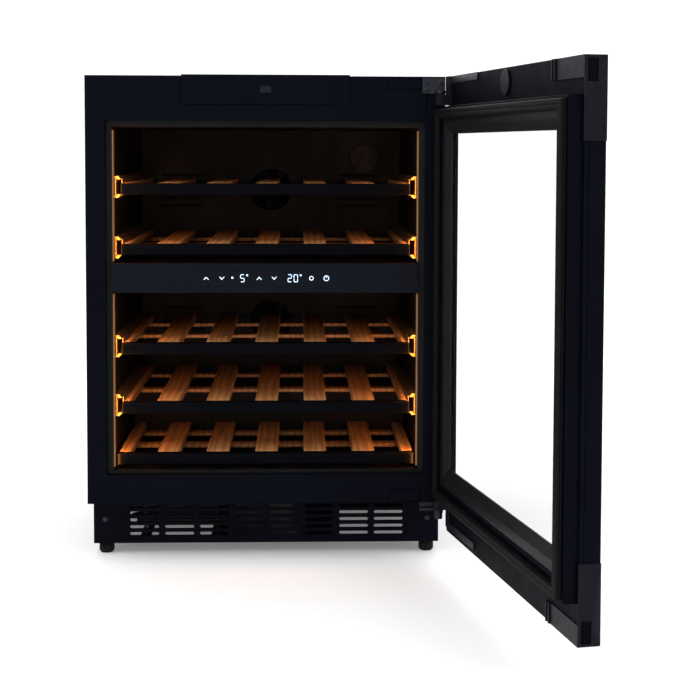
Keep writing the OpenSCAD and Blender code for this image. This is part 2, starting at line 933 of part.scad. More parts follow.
module door_skin() {
    color("#0d1015")
        door_place()
            ring(half_w, door_bottom, cabinet_height, half_w - skin_open_inset, glass_bottom - skin_open_z,
                glass_top + 10, y_skin - skin_thickness, y_skin);
}

module handle_rail() {
    color("#0f1218")
        door_place()
            box(-half_w, -half_w + rail_width, y_skin - rail_depth, y_skin - skin_thickness, door_bottom,
                cabinet_height);
}

module corner_brackets() {
    t = 1.5;
    color("#2b3038")
        door_place()
            for (e = [0, 1]) {
                z0 = e == 0 ? door_bottom : cabinet_height - 109;
                leg = e == 0 ? door_bottom : cabinet_height - 29;
                slot = e == 0 ? door_bottom + 4 : cabinet_height - 34;
                difference() {
                    box(-half_w - t, -half_w, y_skin - rail_depth, y_skin + t, z0, z0 + 109);
                    box(-half_w - t - cut, -half_w + cut, y_skin - 17, y_skin - 3, slot, slot + 30);
                }
                box(-half_w, -half_w + 114, y_skin, y_skin + t, leg, leg + 29);
                for (x = [98, 108])
                    box(-half_w + x, -half_w + x + 3, y_skin + t, y_skin + t + 2.5, leg, leg + 29);
            }
}

module inner_frame() {
    color("#141820")
        door_place()
            ring(half_w - inner_frame_inset, inner_bottom, inner_top,
                half_w - inner_frame_inset - inner_frame_bar, bead_bottom, bead_top, y_skin,
                y_skin + inner_frame_thickness);
}

module glass_panes() {
    t = pane_thickness;
    color("#9fb4bd", 0.35)
        door_place() {
            for (y = [0, t + pane_gap])
                box(-pane_half, pane_half, y_skin + y, y_skin + y + t, bead_bottom + fit_gap,
                    bead_top - fit_gap);
            ring(pane_half, bead_bottom + fit_gap, bead_top - fit_gap, glass_half + 6, glass_bottom - 6,
                glass_top + 6, y_skin + t, y_skin + t + pane_gap);
        }
}

module glass_bead() {
    w0 = 2 * pane_thickness + pane_gap;
    step = (inner_frame_thickness - w0) / 3;
    color("#3a3f47")
        door_place()
            for (k = [0:2])
                ring(half_w - inner_frame_inset - inner_frame_bar, bead_bottom, bead_top,
                    glass_half + 8 * k, glass_bottom - 8 * k, glass_top + 6 * k,
                    y_skin + w0 + k * step, y_skin + w0 + (k + 1) * step);
}

module door_gasket() {
    hx = half_w - pin_inset_x;
    y0 = y_skin + inner_frame_thickness;
    color("#0a0a0b")
        door_place()
            ring(hx, inner_bottom + 4, inner_top - 4, hx - gasket_width, inner_bottom + 4 + gasket_width,
                inner_top - 4 - gasket_width, y0, y0 + gasket_height);
}

module door_hinges() {
    color("#6f747b")
        door_place()
            difference() {
                union() {
                    box(pin_x - 8, half_w - 0.5, y_skin, y_skin + 25, inner_top + 2, inner_top + 20);
                    box(pin_x - 8, half_w - 0.5, y_skin, y_skin + hinge_end, inner_top + 2, cabinet_height);
                    box(half_w - 155, half_w - 0.5, y_skin, y_skin + 2, cabinet_height - 12, cabinet_height);
                    box(pin_x - 8, half_w - 0.5, y_skin, y_skin + 25, base_height - 9, inner_bottom - 2);
                    box(pin_x - 8, half_w - 0.5, y_skin, y_skin + 2, base_height - 40, inner_bottom - 2);
                    box(half_w - 155, half_w - 0.5, y_skin, y_skin + 2, base_height - 40, base_height - 28);
                }
                drill_z(pin_x, pin_y, door_bottom, cabinet_height, pin_radius + pin_clearance);
            }
}

module strike_plate() {
    color("#23272e")
        door_place()
            drill_y(8, y_skin, y_skin + 3, pusher_z, 19);
}

front_frame();
outer_wrap();
back_panel();
body_floor();
inner_liner();
foam_insulation();
base_tray();
plinth_grille();
foot_front_left();
foot_front_right();
foot_rear_left();
foot_rear_right();
foot_nuts();
opener_housing();
opener_pusher();
hinge_bracket_top();
hinge_bracket_bottom();
hinge_washer();
hinge_covers();
cabinet_screws();
zone_divider();
control_bezel();
display_lens();
touch_icons();
light_strips();
slide_outers();
slide_middle_1();
slide_middle_2();
slide_middle_3();
slide_middle_4();
shelf_frame_1();
shelf_frame_2();
shelf_frame_3();
shelf_frame_4();
shelf_frame_5();
shelf_slats_1();
shelf_slats_2();
shelf_slats_3();
shelf_slats_4();
shelf_slats_5();
air_covers();
fan_upper();
fan_lower();
charcoal_filter();
compressor();
compressor_feet();
condenser();
condenser_fan();
fan_shroud();
rear_guard();
power_inlet();
door_skin();
handle_rail();
corner_brackets();
inner_frame();
glass_panes();
glass_bead();
door_gasket();
door_hinges();
strike_plate();
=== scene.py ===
import json
import math

import bmesh
import bpy
from mathutils import Matrix, Vector


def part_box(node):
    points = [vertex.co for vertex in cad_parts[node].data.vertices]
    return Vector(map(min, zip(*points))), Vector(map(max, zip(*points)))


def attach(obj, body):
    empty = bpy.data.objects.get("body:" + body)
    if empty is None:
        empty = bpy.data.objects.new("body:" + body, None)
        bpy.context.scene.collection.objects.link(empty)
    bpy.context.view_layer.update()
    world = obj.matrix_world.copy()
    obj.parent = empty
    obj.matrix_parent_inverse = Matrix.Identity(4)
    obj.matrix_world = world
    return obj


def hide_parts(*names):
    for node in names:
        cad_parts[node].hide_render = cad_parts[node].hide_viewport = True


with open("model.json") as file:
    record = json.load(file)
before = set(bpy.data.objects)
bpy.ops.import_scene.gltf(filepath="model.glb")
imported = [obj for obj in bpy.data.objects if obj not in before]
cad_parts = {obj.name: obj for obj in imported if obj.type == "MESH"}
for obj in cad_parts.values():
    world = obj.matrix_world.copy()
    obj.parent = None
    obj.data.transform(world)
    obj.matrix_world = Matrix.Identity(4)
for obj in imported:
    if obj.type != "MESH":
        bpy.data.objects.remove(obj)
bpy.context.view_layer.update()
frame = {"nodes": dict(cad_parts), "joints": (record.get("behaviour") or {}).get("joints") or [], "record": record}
nodes = frame["nodes"]
SLOT = {p["node"]: p["material_slot"] for p in frame["record"]["subparts"]}

# The door is drawn shut and then turned about its pin to the pose of the frame
HINGE = next(j for j in frame["joints"] if j["name"] == "door_hinge")
PIN = Vector(HINGE["pos_m"][:2] + [0.0])
OPEN = math.radians(-HINGE["range_deg"][0])
TO_OPEN = Matrix.Translation(PIN) @ Matrix.Rotation(OPEN, 4, "Z") @ Matrix.Translation(-PIN)
TO_SHUT = TO_OPEN.inverted()

# ---------------------------------------------------------------- materials

NOISE_LOW, NOISE_HIGH = 0.3, 0.7  # most of a noise texture's values lie between these
LED_SET_IN = 0.00125  # from a strip's outer side to the middle of its face
LED_X = max(v.co.x for v in nodes["light_strips"].data.vertices) - LED_SET_IN
LED_LIT, LED_DULL = 0.0006, 0.0019  # the lit line's half width, and where the glow has faded out


class Graph:
    """One Principled material whose colour, roughness and bump come from noise in object space."""

    def __init__(self, name):
        self.mat = bpy.data.materials.new(name)
        self.mat.use_nodes = True
        self.nt = self.mat.node_tree
        self.bsdf = self.nt.nodes["Principled BSDF"]
        self.coord = self.nt.nodes.new("ShaderNodeTexCoord").outputs["Object"]

    def add(self, kind, **values):
        n = self.nt.nodes.new(kind)
        for key, v in values.items():
            if key in n.inputs:
                n.inputs[key].default_value = v
            else:
                setattr(n, key, v)
        return n

    def link(self, a, b):
        self.nt.links.new(a, b)

    def even(self, **values):
        """Sets the values that are the same all over; an underscore stands for a space."""
        for key, v in values.items():
            self.bsdf.inputs[key.replace("_", " ")].default_value = v

    def stretched(self, scale):
        m = self.add("ShaderNodeMapping", Scale=scale)
        self.link(self.coord, m.inputs["Vector"])
        return m.outputs["Vector"]

    def noise(self, scale, stretch=(1, 1, 1), detail=4.0, rough=0.55):
        n = self.add("ShaderNodeTexNoise", Scale=scale, Detail=detail, Roughness=rough)
        self.link(self.stretched(stretch), n.inputs["Vector"])
        return n.outputs["Fac"]

    def ramp(self, fac, stops):
        r = self.add("ShaderNodeValToRGB")
        e = r.color_ramp.elements
        while len(e) < len(stops):
            e.new(0.5)
        for k, (at, c) in enumerate(stops):
            e[k].position = at
            e[k].color = (*c, 1)
        self.link(fac, r.inputs["Fac"])
        return r.outputs["Color"]

    def tones(self, fac, low, high):
        """Colours from low to high over a noise's usual range."""
        return self.ramp(fac, [(NOISE_LOW, low), (NOISE_HIGH, high)])

    def remap(self, fac, start, end, lo, hi):
        """Numbers from lo to hi while fac goes from start to end."""
        r = self.add("ShaderNodeMapRange")
        for key, v in {"From Min": start, "From Max": end, "To Min": lo, "To Max": hi}.items():
            r.inputs[key].default_value = v
        self.link(fac, r.inputs["Value"])
        return r.outputs["Result"]

    def spread(self, fac, lo, hi):
        """Numbers from lo to hi over a noise's usual range."""
        return self.remap(fac, NOISE_LOW, NOISE_HIGH, lo, hi)

    def calc(self, operation, a, b=None):
        n = self.add("ShaderNodeMath", operation=operation)
        self.link(a, n.inputs[0])
        if b is not None:
            n.inputs[1].default_value = b
        return n.outputs[0]

    def bump(self, heights):
        """Stacks bumps, each (height, strength, distance)."""
        last = None
        for fac, strength, distance in heights:
            b = self.add("ShaderNodeBump", Strength=strength, Distance=distance)
            self.link(fac, b.inputs["Height"])
            if last is not None:
                self.link(last, b.inputs["Normal"])
            last = b.outputs["Normal"]
        self.link(last, self.bsdf.inputs["Normal"])

    def colour(self, socket):
        self.link(socket, self.bsdf.inputs["Base Color"])

    def roughness(self, socket):
        self.link(socket, self.bsdf.inputs["Roughness"])


def finish(name, low, high, rough, metal=0.0, spec=0.5, patch=9.0, grain=1400.0, grain_up=0.00004,
           stretch=(1, 1, 1), coat=0.0):
    """Paint, plastic, rubber or metal: patches of tone, a fine grain, and smudges in the gloss."""
    g = Graph(name)
    g.even(Metallic=metal, Specular_IOR_Level=spec, Coat_Weight=coat, Coat_Roughness=0.12)
    g.colour(g.tones(g.noise(patch, stretch, 5.0, 0.6), low, high))
    g.roughness(g.spread(g.noise(patch * 2.7, (1, 1, 0.6), 6.0, 0.7), *rough))
    g.bump([(g.noise(grain, stretch, 2.0), 0.35, grain_up),
            (g.noise(patch * 4, stretch), 0.12, grain_up * 3)])
    return g.mat


def wood(name):
    """Beech: growth bands and fine fibres, both drawn out along Y, under slow changes of shade."""
    g = Graph(name)
    g.even(Specular_IOR_Level=0.35)
    wave = g.add("ShaderNodeTexWave", Scale=26.0, Distortion=7.0, Detail=4.0, bands_direction="X")
    wave.inputs["Detail Scale"].default_value = 1.6
    g.link(g.stretched((1.0, 0.09, 1.4)), wave.inputs["Vector"])
    bands = wave.outputs["Fac"]
    fibre = g.noise(900.0, (1.0, 0.03, 1.0), 5.0)
    tone = g.noise(11.0, (1.0, 0.12, 1.0), 3.0)
    mix = g.add("ShaderNodeMixRGB", blend_type="MULTIPLY", Fac=1.0)
    g.link(g.ramp(bands, [(0.1, (0.34, 0.155, 0.052)), (0.6, (0.44, 0.22, 0.080)),
                          (0.95, (0.50, 0.265, 0.105))]), mix.inputs["Color1"])
    g.link(g.tones(tone, (0.78, 0.74, 0.70), (1.0, 1.0, 1.0)), mix.inputs["Color2"])
    g.colour(mix.outputs["Color"])
    g.roughness(g.spread(fibre, 0.42, 0.62))
    g.bump([(fibre, 0.4, 0.0002), (bands, 0.15, 0.0002)])
    return g.mat


def spangle(name):
    """Zinc-coated sheet: crystals a centimetre or two across, each with its own tone and gloss."""
    g = Graph(name)
    g.even(Metallic=1.0)
    wobble = g.add("ShaderNodeTexNoise", Scale=30.0, Detail=3.0)
    g.link(g.coord, wobble.inputs["Vector"])
    warp = g.add("ShaderNodeMixRGB", blend_type="ADD", Fac=0.012)
    g.link(g.coord, warp.inputs["Color1"])
    g.link(wobble.outputs["Color"], warp.inputs["Color2"])
    cells = g.add("ShaderNodeTexVoronoi", Scale=75.0)
    g.link(warp.outputs["Color"], cells.inputs["Vector"])
    split = g.add("ShaderNodeSeparateColor")
    g.link(cells.outputs["Color"], split.inputs["Color"])
    g.colour(g.ramp(split.outputs["Red"], [(0.0, (0.235, 0.245, 0.26)), (1.0, (0.315, 0.325, 0.34))]))
    g.roughness(g.spread(split.outputs["Green"], 0.30, 0.46))
    g.bump([(g.noise(900.0), 0.25, 0.00004)])
    return g.mat


def glass(name):
    """Clear panes: almost no body of their own, and streaks in the gloss where they were wiped."""
    g = Graph(name)
    g.even(Alpha=0.045, Specular_IOR_Level=1.0)
    g.colour(g.tones(g.noise(3.0), (0.010, 0.013, 0.017), (0.016, 0.020, 0.025)))
    g.roughness(g.spread(g.noise(14.0, (1, 1, 0.5), 6.0), 0.0, 0.035))
    return g.mat


def lamp_plastic(g, low, high):
    """What the two lit plastics share, under their glow."""
    g.colour(g.tones(g.noise(60.0), low, high))
    g.roughness(g.spread(g.noise(200.0), 0.35, 0.5))
    g.bump([(g.noise(900.0), 0.2, 0.00005)])


def icons(name):
    """Touch symbols that glow evenly in a cool white."""
    g = Graph(name)
    g.even(Emission_Color=(0.48, 0.66, 1.0, 1), Emission_Strength=1.5)
    print_white, print_dim = (0.8, 0.88, 1.0), 0.86
    lamp_plastic(g, tuple(c * print_dim for c in print_white), print_white)
    return g.mat


def led(name):
    """A thin lit line down the middle of each strip's face, and a dull amber lens on both sides of it."""
    g = Graph(name)
    g.even(Emission_Strength=1.0)
    xyz = g.add("ShaderNodeSeparateXYZ")
    g.link(g.coord, xyz.inputs["Vector"])
    side = g.calc("ABSOLUTE", xyz.outputs["X"])
    away = g.calc("ABSOLUTE", g.calc("SUBTRACT", side, LED_X))
    near = g.remap(away, LED_LIT, LED_DULL, 0.0, 1.0)
    g.link(g.ramp(near, [(0.0, (0.20, 0.075, 0.016)), (1.0, (0.016, 0.006, 0.001))]),
           g.bsdf.inputs["Emission Color"])
    lamp_plastic(g, (0.05, 0.03, 0.012), (0.07, 0.042, 0.017))
    return g.mat


CONTROL_PANEL = dict(low=(0.0026, 0.0034, 0.0068), high=(0.0037, 0.0047, 0.0090), rough=(0.3, 0.42),
                     spec=0.06, patch=14.0)
FINISHES = {
    "frame_black": dict(low=(0.0008, 0.0013, 0.0036), high=(0.0016, 0.0022, 0.0056), rough=(0.38, 0.54),
                        spec=0.035),
    "cabinet_steel": dict(low=(0.0010, 0.0015, 0.0042), high=(0.0016, 0.0021, 0.0053), rough=(0.50, 0.56),
                          spec=0.04, patch=5.0),
    "liner_plastic": dict(low=(0.0030, 0.0030, 0.0034), high=(0.0056, 0.0055, 0.0060), rough=(0.42, 0.6),
                          spec=0.12, grain=2200.0),
    "foam": dict(low=(0.62, 0.52, 0.28), high=(0.80, 0.70, 0.42), rough=(0.8, 0.95),
                 patch=30.0, grain=700.0, grain_up=0.0004),
    "foot_rubber": dict(low=(0.0028, 0.0028, 0.0032), high=(0.006, 0.006, 0.0066), rough=(0.55, 0.75),
                        spec=0.12, patch=60.0),
    "bright_steel": dict(low=(0.38, 0.39, 0.41), high=(0.58, 0.59, 0.60), rough=(0.22, 0.4),
                         metal=1.0, patch=70.0, stretch=(1, 1, 0.2)),
    "hinge_steel": dict(low=(0.014, 0.016, 0.021), high=(0.030, 0.033, 0.041), rough=(0.3, 0.46),
                        metal=0.85, patch=60.0),
    "panel_black": CONTROL_PANEL,
    "display_glass": CONTROL_PANEL,
    "pusher_plastic": dict(low=(0.0040, 0.0048, 0.0085), high=(0.0065, 0.0075, 0.012), rough=(0.36, 0.5),
                           spec=0.12, patch=40.0),
    "slide_steel": dict(low=(0.12, 0.085, 0.042), high=(0.21, 0.15, 0.078), rough=(0.32, 0.48),
                        metal=0.85, patch=50.0, stretch=(1, 0.15, 1)),
    "shelf_black": dict(low=(0.0006, 0.0008, 0.0018), high=(0.0013, 0.0015, 0.0030), rough=(0.40, 0.55),
                        spec=0.03, patch=20.0),
    "fan_plastic": dict(low=(0.0045, 0.0046, 0.0052), high=(0.008, 0.0081, 0.009), rough=(0.38, 0.55),
                        spec=0.16, patch=50.0),
    "compressor_paint": dict(low=(0.0028, 0.0030, 0.0036), high=(0.0052, 0.0055, 0.0064), rough=(0.22, 0.38),
                             spec=0.3, patch=25.0, coat=0.1),
    "condenser_tube": dict(low=(0.008, 0.0085, 0.010), high=(0.018, 0.019, 0.022), rough=(0.36, 0.55),
                           spec=0.3, patch=50.0),
    "door_black": dict(low=(0.0006, 0.0009, 0.0030), high=(0.0013, 0.0017, 0.0046), rough=(0.46, 0.62),
                       spec=0.03, coat=0.01),
    "bracket_steel": dict(low=(0.0025, 0.0032, 0.0060), high=(0.0045, 0.0056, 0.0098), rough=(0.34, 0.5),
                          metal=0.15, spec=0.1, patch=40.0),
    "bead_plastic": dict(low=(0.0038, 0.0042, 0.0052), high=(0.0068, 0.0074, 0.0090), rough=(0.34, 0.48),
                         spec=0.16, patch=40.0),
    "gasket_rubber": dict(low=(0.0016, 0.0018, 0.0024), high=(0.0034, 0.0037, 0.0046), rough=(0.5, 0.7),
                          spec=0.08, patch=60.0),
}
SPECIAL = {"zinc_steel": spangle, "icon_light": icons, "led_diffuser": led, "beech_wood": wood,
           "pane_glass": glass}
MATS = {slot: finish(slot, **look) for slot, look in FINISHES.items()}
MATS.update({slot: make(slot) for slot, make in SPECIAL.items()})

# ---------------------------------------------------------------- mesh helpers

WELD = 1e-5  # CAD corners closer than this are one corner
SHARP = math.radians(32)  # edges that turn more than this are rounded
THICKEST_ROUND = 0.45  # of a block's thinnest side


def piece(name, bm, body, slot, *stands_for, angle=35.0, shut=False):
    """Makes the mesh a piece that rides on a body. With shut, it was drawn on the closed door."""
    bmesh.ops.remove_doubles(bm, verts=bm.verts, dist=1e-6)
    bmesh.ops.recalc_face_normals(bm, faces=bm.faces)
    if shut:
        bm.transform(TO_OPEN)
    me = bpy.data.meshes.new(name)
    bm.to_mesh(me)
    bm.free()
    me.materials.append(MATS[slot])
    for p in me.polygons:
        p.use_smooth = True
    me.set_sharp_from_angle(angle=math.radians(angle))
    o = bpy.data.objects.new(name, me)
    bpy.context.scene.collection.objects.link(o)
    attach(o, body)
    if stands_for:
        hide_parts(*stands_for)


def turn(steps):
    """The angles of a full turn."""
    return [2 * math.pi * k / steps for k in range(steps)]


def centre(lo, hi):
    return [(a + b) / 2 for a, b in zip(lo, hi)]


def band(bm, a, b):
    """Faces between two closed rings with as many points each."""
    for k in range(len(a)):
        n = (k + 1) % len(a)
        bm.faces.new([a[k], a[n], b[n], b[k]])


def sheet(bm, rows):
    """Faces over a grid of points."""
    for a, b in zip(rows, rows[1:]):
        for k in range(len(a) - 1):
            bm.faces.new([a[k], a[k + 1], b[k + 1], b[k]])


def rim(rows):
    """The points along a grid's edge, in order."""
    along, across = len(rows) - 1, len(rows[0]) - 1
    edge = [(i, 0) for i in range(along)] + [(along, j) for j in range(across)]
    edge += [(i, across) for i in range(along, 0, -1)] + [(0, j) for j in range(across, 0, -1)]
    return [rows[i][j] for i, j in edge]


def block(bm, lo, hi, r=0.001, segments=2):
    """A box with rounded edges."""
    size = Vector(hi) - Vector(lo)
    mid = (Vector(hi) + Vector(lo)) / 2
    made = bmesh.ops.create_cube(bm, size=1.0, matrix=Matrix.Translation(mid) @ Matrix.Diagonal((*size, 1.0)))
    edges = list({e for v in made["verts"] for e in v.link_edges})
    r = min(r, min(size) * THICKEST_ROUND)
    bmesh.ops.bevel(bm, geom=edges, offset=r, segments=segments, profile=0.5, affect="EDGES",
                    clamp_overlap=True)


def lathe(bm, place, profile, axis="Z", steps=48):
    """Turns a (radius, height) profile about an axis through place; a radius of 0 closes it."""
    upright = {"Z": Matrix.Identity(4), "Y": Matrix.Rotation(-math.pi / 2, 4, "X")}[axis]
    move = Matrix.Translation(place) @ upright
    rows = []
    for r, h in profile:
        if r <= 0:
            rows.append([bm.verts.new(move @ Vector((0, 0, h)))])
        else:
            rows.append([bm.verts.new(move @ Vector((r * math.cos(a), r * math.sin(a), h)))
                         for a in turn(steps)])
    for a, b in zip(rows, rows[1:]):
        for k in range(steps):
            n = (k + 1) % steps
            ring = [a[k % len(a)], a[n % len(a)], b[n % len(b)], b[k % len(b)]]
            corners = list(dict.fromkeys(ring))
            if len(corners) > 2:
                bm.faces.new(corners)


def tube(bm, points, r, steps, closed=False):
    """A round bar along a list of points."""
    rings = []
    count = len(points)
    for k, p in enumerate(points):
        p = Vector(p)
        before = Vector(points[(k - 1) % count if closed else max(k - 1, 0)])
        after = Vector(points[(k + 1) % count if closed else min(k + 1, count - 1)])
        t = (after - before).normalized()
        side = t.orthogonal() if abs(t.z) > 0.9 else t.cross(Vector((0, 0, 1)))
        side.normalize()
        up = side.cross(t)
        rings.append([bm.verts.new(p + r * (side * math.cos(a) + up * math.sin(a))) for a in turn(steps)])
    for a, b in list(zip(rings, rings[1:])) + ([(rings[-1], rings[0])] if closed else []):
        band(bm, a, b)
    if not closed:
        bm.faces.new(rings[0][::-1])
        bm.faces.new(rings[-1])


def surround(bm, outer, inner, profile):
    """A mitred frame between two outlines: each profile point is (share of the way in, y)."""
    rows = []
    for t, y in profile:
        x0, x1, z0, z1 = (a + (b - a) * t for a, b in zip(outer, inner))
        rows.append([bm.verts.new((x, y, z)) for x, z in ((x0, z0), (x1, z0), (x1, z1), (x0, z1))])
    for a, b in zip(rows, rows[1:] + rows[:1]):
        band(bm, a, b)


def outline(lo, hi, left=0.0, right=0.0, low=0.0, high=0.0):
    """A box seen from the front as (x0, x1, z0, z1), drawn in by a distance on each side."""
    return lo.x + left, hi.x - right, lo.z + low, hi.z - high


def islands(node):
    """The boxes of a CAD node's separate solids, from low X to high X."""
    bm = bmesh.new()
    bm.from_mesh(nodes[node].data)
    bmesh.ops.remove_doubles(bm, verts=bm.verts, dist=WELD)
    left, found = set(bm.verts), []
    while left:
        stack, seen = [left.pop()], []
        while stack:
            v = stack.pop()
            seen.append(v.co.copy())
            for e in v.link_edges:
                w = e.other_vert(v)
                if w in left:
                    left.remove(w)
                    stack.append(w)
        found.append((Vector(map(min, *seen)), Vector(map(max, *seen))))
    bm.free()
    return sorted(found, key=lambda b: (round(b[0].x, 4), b[0].z))


def shut_box(node):
    """A door node's box with the door shut."""
    pts = [TO_SHUT @ v.co for v in nodes[node].data.vertices]
    return Vector(map(min, *pts)), Vector(map(max, *pts))


def soften(node, width):
    """Rounds a CAD node's sharp edges with modifiers; its mesh stays as it is."""
    o = nodes[node]
    w = o.modifiers.new("join", "WELD")
    w.merge_threshold = WELD
    b = o.modifiers.new("round", "BEVEL")
    b.width, b.segments, b.limit_method, b.angle_limit = width, 2, "ANGLE", SHARP
    b.harden_normals = True


# ---------------------------------------------------------------- CAD nodes that stay

ROUND = {
    "front_frame": 0.0009, "outer_wrap": 0.0003, "opener_housing": 0.0009, "opener_pusher": 0.0008,
    "hinge_covers": 0.0012, "hinge_bracket_top": 0.0004, "hinge_bracket_bottom": 0.0004,
    "door_hinges": 0.0004,
    "control_bezel": 0.0008, "display_lens": 0.0004, "plinth_grille": 0.0006, "base_tray": 0.0004,
    "door_skin": 0.0010, "handle_rail": 0.0012, "corner_brackets": 0.0003, "zone_divider": 0.0008,
    "rear_guard": 0.0003, "inner_liner": 0.0005, "air_covers": 0.0004, "fan_shroud": 0.0004,
    "foot_nuts": 0.0005, "charcoal_filter": 0.0008, "strike_plate": 0.0006, "slide_outers": 0.0002,
    "light_strips": 0.0005, "body_floor": 0.0002, "compressor_feet": 0.0010, "power_inlet": 0.0005,
    "slide_middle_1": 0.0002, "slide_middle_2": 0.0002, "slide_middle_3": 0.0002, "slide_middle_4": 0.0002,
}
for node, o in nodes.items():
    o.data.materials.clear()
    o.data.materials.append(MATS[SLOT[node]])
for node, width in ROUND.items():
    soften(node, width)

# ---------------------------------------------------------------- door

GROOVES, GROOVE_DEPTH = (0.22, 0.50, 0.78), 0.0014  # shares of the way across a side
RIBS = 9  # steps in which the bead climbs from the glass to the frame, as in the CAD
SIGHT_X, SIGHT_LOW, SIGHT_HIGH = 0.030, 0.032, 0.027  # the bead's width at the sides, below and above
GASKET_WIDTH = 0.016


def inner_frame():
    """The frame behind the glass, with three shallow grooves round it."""
    lo, hi = shut_box("inner_frame")
    y0, y1 = lo.y, hi.y
    groove = y1 - GROOVE_DEPTH
    profile = [(0.0, y0), (0.0, y1 - 0.002), (0.03, y1 - 0.0006), (0.08, y1)]
    for at in GROOVES:
        profile += [(at - 0.03, y1), (at - 0.02, groove), (at + 0.02, groove), (at + 0.03, y1)]
    profile += [(0.95, y1), (0.99, y1 - 0.0007), (1.0, y1 - 0.002), (1.0, y0)]
    bm = bmesh.new()
    surround(bm, outline(lo, hi), outline(*shut_box("glass_bead")), profile)
    piece("inner_frame_profile", bm, "door", "door_black", "inner_frame", shut=True)


def glass_bead():
    """The bead climbs from the glass edge to the frame in small ribs."""
    lo, hi = shut_box("glass_bead")
    y0, y1 = lo.y, hi.y
    seat = 0.0022
    rise = (y1 - y0 - seat) / RIBS
    profile = [(1.0, y0), (1.0, y0 + 0.0016), (0.985, y0 + seat)]
    for k in range(RIBS):
        t, y = 0.965 - k * 0.055, y0 + seat + k * rise
        profile += [(t, y), (t - 0.006, y + rise * 0.75), (t - 0.020, y + rise), (t - 0.042, y + rise)]
    profile += [(0.05, y1), (0.0, y1 - 0.001), (0.0, y0)]
    bm = bmesh.new()
    surround(bm, outline(lo, hi), outline(lo, hi, SIGHT_X, SIGHT_X, SIGHT_LOW, SIGHT_HIGH), profile)
    piece("glass_bead_ribs", bm, "door", "bead_plastic", "glass_bead", shut=True)


def door_gasket():
    """A bellows with a hollow down the middle of its face."""
    lo, hi = shut_box("door_gasket")
    fold = [(0.10, 0.0), (0.02, 0.0012), (0.0, 0.003), (0.10, 0.0043), (0.02, 0.0056), (0.05, 0.0076),
            (0.16, 0.009), (0.46, 0.009), (0.50, 0.0084), (0.54, 0.009), (0.84, 0.009), (0.95, 0.0076),
            (0.98, 0.0056), (0.90, 0.0043), (1.0, 0.003), (0.98, 0.0012), (0.90, 0.0)]
    bm = bmesh.new()
    surround(bm, outline(lo, hi), outline(lo, hi, *(GASKET_WIDTH,) * 4), [(t, lo.y + y) for t, y in fold])
    piece("door_gasket_bellows", bm, "door", "gasket_rubber", "door_gasket", angle=50.0, shut=True)


inner_frame()
glass_bead()
door_gasket()

# ---------------------------------------------------------------- shelves

SHELVES, SLIDING = 5, 4
SLATS, SLAT_W, SLAT_T = 7, 0.038, 0.013
SLAT_TRIM = 0.003  # off the run of slats, which leaves the cut ones at the sides a little wider
BATTENS, BATTEN = (0.06, 0.5, 0.94), 0.028  # shares of the depth, and a batten's width
BAR_DEPTH, BAR_HEIGHT, BAR_ROUND, BAR_PAST = 0.020, 0.019, 0.0025, 0.001
RUNNER_WALL, RUNNER_LIP, RUNNER_SET_BACK = 0.001, 0.0015, 0.012  # half the wall, a lip, the lips' start
END_CHEEK = 0.002  # the bottom shelf's side walls


def shelf_slats(i):
    """Slats from front to back on three battens. The outer slats are cut to the shelf's sides."""
    lo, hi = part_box(f"shelf_slats_{i}")
    reach = min(hi.x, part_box("shelf_slats_1")[1].x)
    pitch = (2 * reach + SLAT_W / 2 - SLAT_TRIM) / (SLATS - 1)
    bm = bmesh.new()
    for j in range(SLATS):
        x = (j - (SLATS - 1) / 2) * pitch
        a, b = max(lo.x, x - SLAT_W / 2), min(hi.x, x + SLAT_W / 2)
        block(bm, (a, lo.y, hi.z - SLAT_T), (b, hi.y, hi.z), 0.0022, 3)
    for share in BATTENS:
        y = lo.y + share * (hi.y - lo.y - BATTEN)
        block(bm, (lo.x, y, lo.z), (hi.x, y + BATTEN, hi.z - SLAT_T), 0.0012)
    body = f"shelf_{i}" if i <= SLIDING else "cabinet"
    piece(f"shelf_{i}_slats", bm, body, "beech_wood", f"shelf_slats_{i}")


def sliding_bar(i):
    """A sliding shelf's front bar, and its two runners: a wall with a lip above and below."""
    lo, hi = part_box(f"shelf_frame_{i}")
    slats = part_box(f"shelf_slats_{i}")[1]
    bar, top = slats.x + BAR_PAST, slats.z
    bm = bmesh.new()
    block(bm, (-bar, lo.y, top - BAR_HEIGHT), (bar, lo.y + BAR_DEPTH, top), BAR_ROUND, 3)
    piece(f"shelf_{i}_bar", bm, f"shelf_{i}", "shelf_black", f"shelf_frame_{i}")
    bm = bmesh.new()
    for s in (-1, 1):
        a, b = sorted((s * (bar - RUNNER_WALL), s * (bar + RUNNER_WALL)))
        block(bm, (a, lo.y + BAR_DEPTH, lo.z), (b, hi.y, hi.z), 0.0003, 1)
        a, b = sorted((s * (bar + RUNNER_WALL), s * hi.x))
        for z in (lo.z, hi.z - RUNNER_LIP):
            block(bm, (a, lo.y + RUNNER_SET_BACK, z), (b, hi.y, z + RUNNER_LIP), 0.0003, 1)
    piece(f"shelf_{i}_runners", bm, f"shelf_{i}", "slide_steel")


def bottom_bar():
    """The fixed shelf's front bar and side walls."""
    lo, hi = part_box("shelf_frame_5")
    bm = bmesh.new()
    block(bm, (lo.x, lo.y, hi.z - BAR_HEIGHT), (hi.x, lo.y + BAR_DEPTH, hi.z), BAR_ROUND, 3)
    for s in (-1, 1):
        a, b = sorted((s * (hi.x - END_CHEEK), s * hi.x))
        block(bm, (a, lo.y + BAR_DEPTH, lo.z), (b, hi.y, hi.z), 0.0004, 1)
    piece("shelf_5_bar", bm, "cabinet", "shelf_black", "shelf_frame_5")


for i in range(1, SHELVES + 1):
    shelf_slats(i)
for i in range(1, SLIDING + 1):
    sliding_bar(i)
bottom_bar()

# ---------------------------------------------------------------- feet, screws

